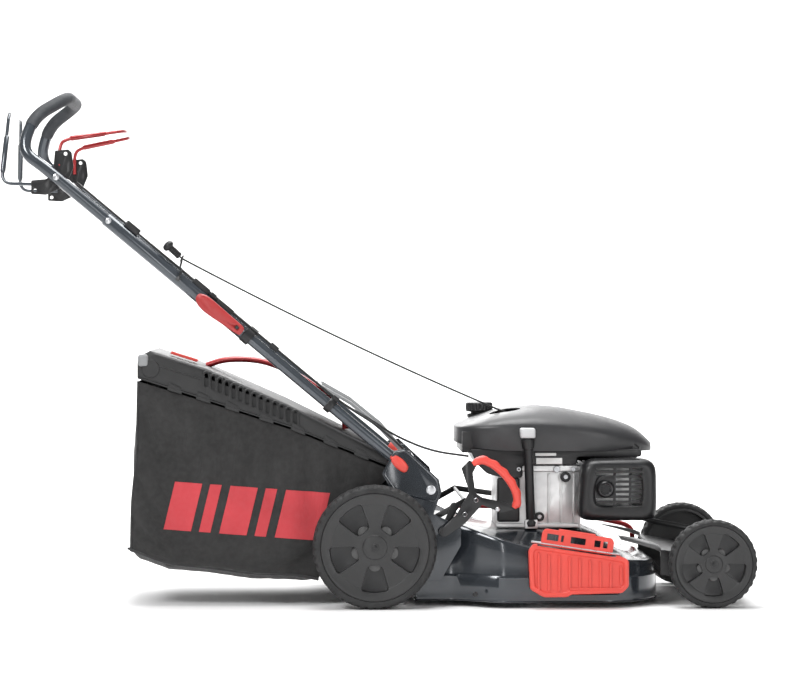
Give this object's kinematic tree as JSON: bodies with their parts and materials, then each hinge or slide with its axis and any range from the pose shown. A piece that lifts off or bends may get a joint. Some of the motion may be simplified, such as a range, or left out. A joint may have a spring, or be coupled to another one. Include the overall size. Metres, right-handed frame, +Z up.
{
  "type": "lawn mower",
  "caption": "Walk-behind petrol lawn mower with a pressed steel deck, rear fabric grass catcher and folding telescopic handle.",
  "frame": {"origin": "on the ground under the middle of the mower's overall length and width", "axes": "+X forward, the way it mows; +Y to its left; +Z up"},
  "size_m": [1.7108, 0.569, 1.1756],
  "materials": {
    "deck_paint": "gloss",
    "black_plastic": "satin",
    "cowl_plastic": "satin",
    "lid_plastic": "matte",
    "grey_plastic": "satin",
    "red_plastic": "satin",
    "red_paint": "gloss",
    "black_paint": "satin",
    "cast_aluminium": "cast",
    "bright_steel": "satin",
    "tube_paint": "gloss",
    "grip_rubber": "textured",
    "wheel_plastic": "matte",
    "tyre_rubber": "matte",
    "bag_fabric": "woven",
    "rope": "braided",
    "cable_sheath": "satin",
    "white_plastic": "satin",
    "belt_rubber": "matte"
  },
  "bodies": {
    "root": {"deck": "deck_paint", "front_housing": "black_plastic", "handle_brackets": "deck_paint", "side_rail": "red_paint", "rear_chute": "black_plastic", "flap_bracket": "red_plastic", "fasteners": "bright_steel", "engine_block": "cast_aluminium", "engine_cover": "cowl_plastic", "fuel_tank": "black_plastic", "muffler": "bright_steel", "muffler_guard": "black_paint", "intake": "black_plastic", "spark_plug": "black_plastic", "dipstick_tube": "black_plastic", "gearbox": "cast_aluminium", "drive_belt": "belt_rubber"},
    "crank": {"crankshaft": "bright_steel", "flywheel": "cast_aluminium", "blade_hub": "bright_steel", "blade": "black_paint"},
    "input_pulley": {"gearbox_pulley": "bright_steel"},
    "rear_carrier": {"rear_carrier": "black_paint"},
    "front_carrier": {"front_carrier": "black_paint"},
    "height_lever": {"height_lever": "black_paint", "height_grip": "red_plastic"},
    "link": {"link_rod": "black_paint"},
    "driveshaft": {"driveshaft": "bright_steel"},
    "pinion_right": {"drive_pinion_right": "bright_steel"},
    "pinion_left": {"drive_pinion_left": "bright_steel"},
    "rear_wheel_right": {"rear_tyre_right": "tyre_rubber", "rear_rim_right": "wheel_plastic"},
    "rear_wheel_left": {"rear_tyre_left": "tyre_rubber", "rear_rim_left": "wheel_plastic"},
    "front_wheel_right": {"front_tyre_right": "tyre_rubber", "front_rim_right": "wheel_plastic"},
    "front_wheel_left": {"front_tyre_left": "tyre_rubber", "front_rim_left": "wheel_plastic"},
    "lower_handle": {"lower_tubes": "tube_paint"},
    "latches": {"tube_latches": "red_plastic"},
    "upper_handle": {"upper_handle": "tube_paint", "handle_grip": "grip_rubber", "cable_clips": "black_plastic", "rope_guide": "bright_steel", "starter_rope": "rope", "brake_cable": "cable_sheath", "drive_cable": "cable_sheath"},
    "clamp_right": {"clamp_right": "red_plastic"},
    "clamp_left": {"clamp_left": "red_plastic"},
    "brake_bail": {"brake_bail": "tube_paint"},
    "drive_bail": {"drive_bail": "red_paint"},
    "starter": {"starter_grip": "black_plastic"},
    "side_flap": {"side_flap": "red_plastic"},
    "rear_door": {"rear_door": "grey_plastic"},
    "catcher": {"catcher_lid": "lid_plastic", "catcher_bag": "bag_fabric", "catcher_handle": "red_plastic"},
    "fill_indicator": {"fill_indicator": "red_plastic"},
    "fuel_cap": {"fuel_cap": "black_plastic"},
    "dipstick": {"dipstick": "white_plastic"}
  },
  "joints": [
    {"name": "crank_spin", "type": "hinge", "parent": "root", "child": "crank", "pos_m": [0.366, 0, 0.1], "axis": [0, 0, 1], "continuous": true},
    {"name": "input_pulley_spin", "type": "hinge", "parent": "root", "child": "input_pulley", "pos_m": [0.07955, 0, 0.146], "axis": [0, 0, 1], "continuous": true},
    {"name": "rear_lift", "type": "hinge", "parent": "root", "child": "rear_carrier", "pos_m": [0.04555, 0, 0.11502], "axis": [0, -1, 0], "range_deg": [0, 49.2]},
    {"name": "front_lift", "type": "hinge", "parent": "root", "child": "front_carrier", "pos_m": [0.81055, 0, 0.07502], "axis": [0, -1, 0], "range_deg": [0, 49.2]},
    {"name": "lever_swing", "type": "hinge", "parent": "root", "child": "height_lever", "pos_m": [0.148, -0.24, 0.172], "axis": [0, -1, 0], "range_deg": [0, 49.2]},
    {"name": "link_swing", "type": "hinge", "parent": "rear_carrier", "child": "link", "pos_m": [0.07053, 0, 0.16958], "axis": [0, -1, 0], "range_deg": [-49.2, 0]},
    {"name": "driveshaft_spin", "type": "hinge", "parent": "rear_carrier", "child": "driveshaft", "pos_m": [0.04555, 0, 0.11502], "axis": [0, 1, 0], "continuous": true},
    {"name": "pinion_right_spin", "type": "hinge", "parent": "rear_carrier", "child": "pinion_right", "pos_m": [0.04555, -0.241, 0.11502], "axis": [0, 1, 0], "continuous": true},
    {"name": "pinion_left_spin", "type": "hinge", "parent": "rear_carrier", "child": "pinion_left", "pos_m": [0.04555, 0.241, 0.11502], "axis": [0, 1, 0], "continuous": true},
    {"name": "rear_wheel_right_spin", "type": "hinge", "parent": "rear_carrier", "child": "rear_wheel_right", "pos_m": [-0.009, -0.258, 0.14], "axis": [0, 1, 0], "continuous": true},
    {"name": "rear_wheel_left_spin", "type": "hinge", "parent": "rear_carrier", "child": "rear_wheel_left", "pos_m": [-0.009, 0.258, 0.14], "axis": [0, 1, 0], "continuous": true},
    {"name": "front_wheel_right_spin", "type": "hinge", "parent": "front_carrier", "child": "front_wheel_right", "pos_m": [0.756, -0.258, 0.1], "axis": [0, 1, 0], "continuous": true},
    {"name": "front_wheel_left_spin", "type": "hinge", "parent": "front_carrier", "child": "front_wheel_left", "pos_m": [0.756, 0.258, 0.1], "axis": [0, 1, 0], "continuous": true},
    {"name": "handle_fold", "type": "hinge", "parent": "root", "child": "lower_handle", "pos_m": [0.119, 0, 0.2665], "axis": [0, 1, 0], "range_deg": [0, 125], "deforming": ["starter_rope", "brake_cable", "drive_cable"]},
    {"name": "latch_slide", "type": "slide", "parent": "lower_handle", "child": "latches", "axis": [-0.7672, 0, 0.6414], "range_m": [0, 0.018], "stiffness_N_per_m": 400, "springref_m": -0.01},
    {"name": "handle_slide", "type": "slide", "parent": "lower_handle", "child": "upper_handle", "axis": [0.7672, 0, -0.6414], "range_m": [0, 0.15], "deforming": ["starter_rope", "brake_cable", "drive_cable"]},
    {"name": "clamp_right_swing", "type": "hinge", "parent": "upper_handle", "child": "clamp_right", "pos_m": [-0.31918, -0.237, 0.63418], "axis": [0, -1, 0], "range_deg": [0, 100]},
    {"name": "clamp_left_swing", "type": "hinge", "parent": "upper_handle", "child": "clamp_left", "pos_m": [-0.31918, 0.237, 0.63418], "axis": [0, -1, 0], "range_deg": [0, 100]},
    {"name": "brake_bail_swing", "type": "hinge", "parent": "upper_handle", "child": "brake_bail", "pos_m": [-0.72565, 0, 0.97274], "axis": [0, 1, 0], "range_deg": [0, 28], "stiffness_Nm_per_rad": 2, "springref_deg": -22.92},
    {"name": "drive_bail_swing", "type": "hinge", "parent": "upper_handle", "child": "drive_bail", "pos_m": [-0.72565, 0, 0.97274], "axis": [0, 1, 0], "range_deg": [-34, 0], "stiffness_Nm_per_rad": 2, "springref_deg": 22.92},
    {"name": "starter_pull", "type": "slide", "parent": "upper_handle", "child": "starter", "axis": [-0.621, -0.3505, 0.7011], "range_m": [0, 0.5], "stiffness_N_per_m": 30, "springref_m": -0.2, "deforming": ["starter_rope"]},
    {"name": "side_flap_swing", "type": "hinge", "parent": "root", "child": "side_flap", "pos_m": [0.343, -0.27, 0.152], "axis": [-0.989, 0, 0.1478], "range_deg": [0, 75], "stiffness_Nm_per_rad": 0.6, "springref_deg": -22.92},
    {"name": "rear_door_swing", "type": "hinge", "parent": "root", "child": "rear_door", "pos_m": [0.065, 0, 0.342], "axis": [0, 1, 0], "range_deg": [0, 27]},
    {"name": "catcher_slide", "type": "slide", "parent": "root", "child": "catcher", "axis": [-1, 0, 0], "range_m": [0, 0.35]},
    {"name": "fill_indicator_swing", "type": "hinge", "parent": "catcher", "child": "fill_indicator", "pos_m": [-0.414, -0.098, 0.557], "axis": [0, 1, 0], "range_deg": [0, 25]},
    {"name": "fuel_cap_turn", "type": "hinge", "parent": "root", "child": "fuel_cap", "pos_m": [0.247, 0.06, 0.44], "axis": [0, 0, 1], "range_deg": [0, 90]},
    {"name": "dipstick_pull", "type": "slide", "parent": "root", "child": "dipstick", "axis": [-0.0532, -0.2079, 0.9767], "range_m": [0, 0.16]}
  ],
  "couplings": [
    {"joint": "input_pulley_spin", "follows": "crank_spin", "ratio": 0.74194},
    {"joint": "front_lift", "follows": "rear_lift", "ratio": 1},
    {"joint": "lever_swing", "follows": "rear_lift", "ratio": 1},
    {"joint": "link_swing", "follows": "rear_lift", "ratio": -1},
    {"joint": "pinion_right_spin", "follows": "rear_wheel_right_spin", "ratio": 5},
    {"joint": "pinion_left_spin", "follows": "rear_wheel_left_spin", "ratio": 5}
  ]
}
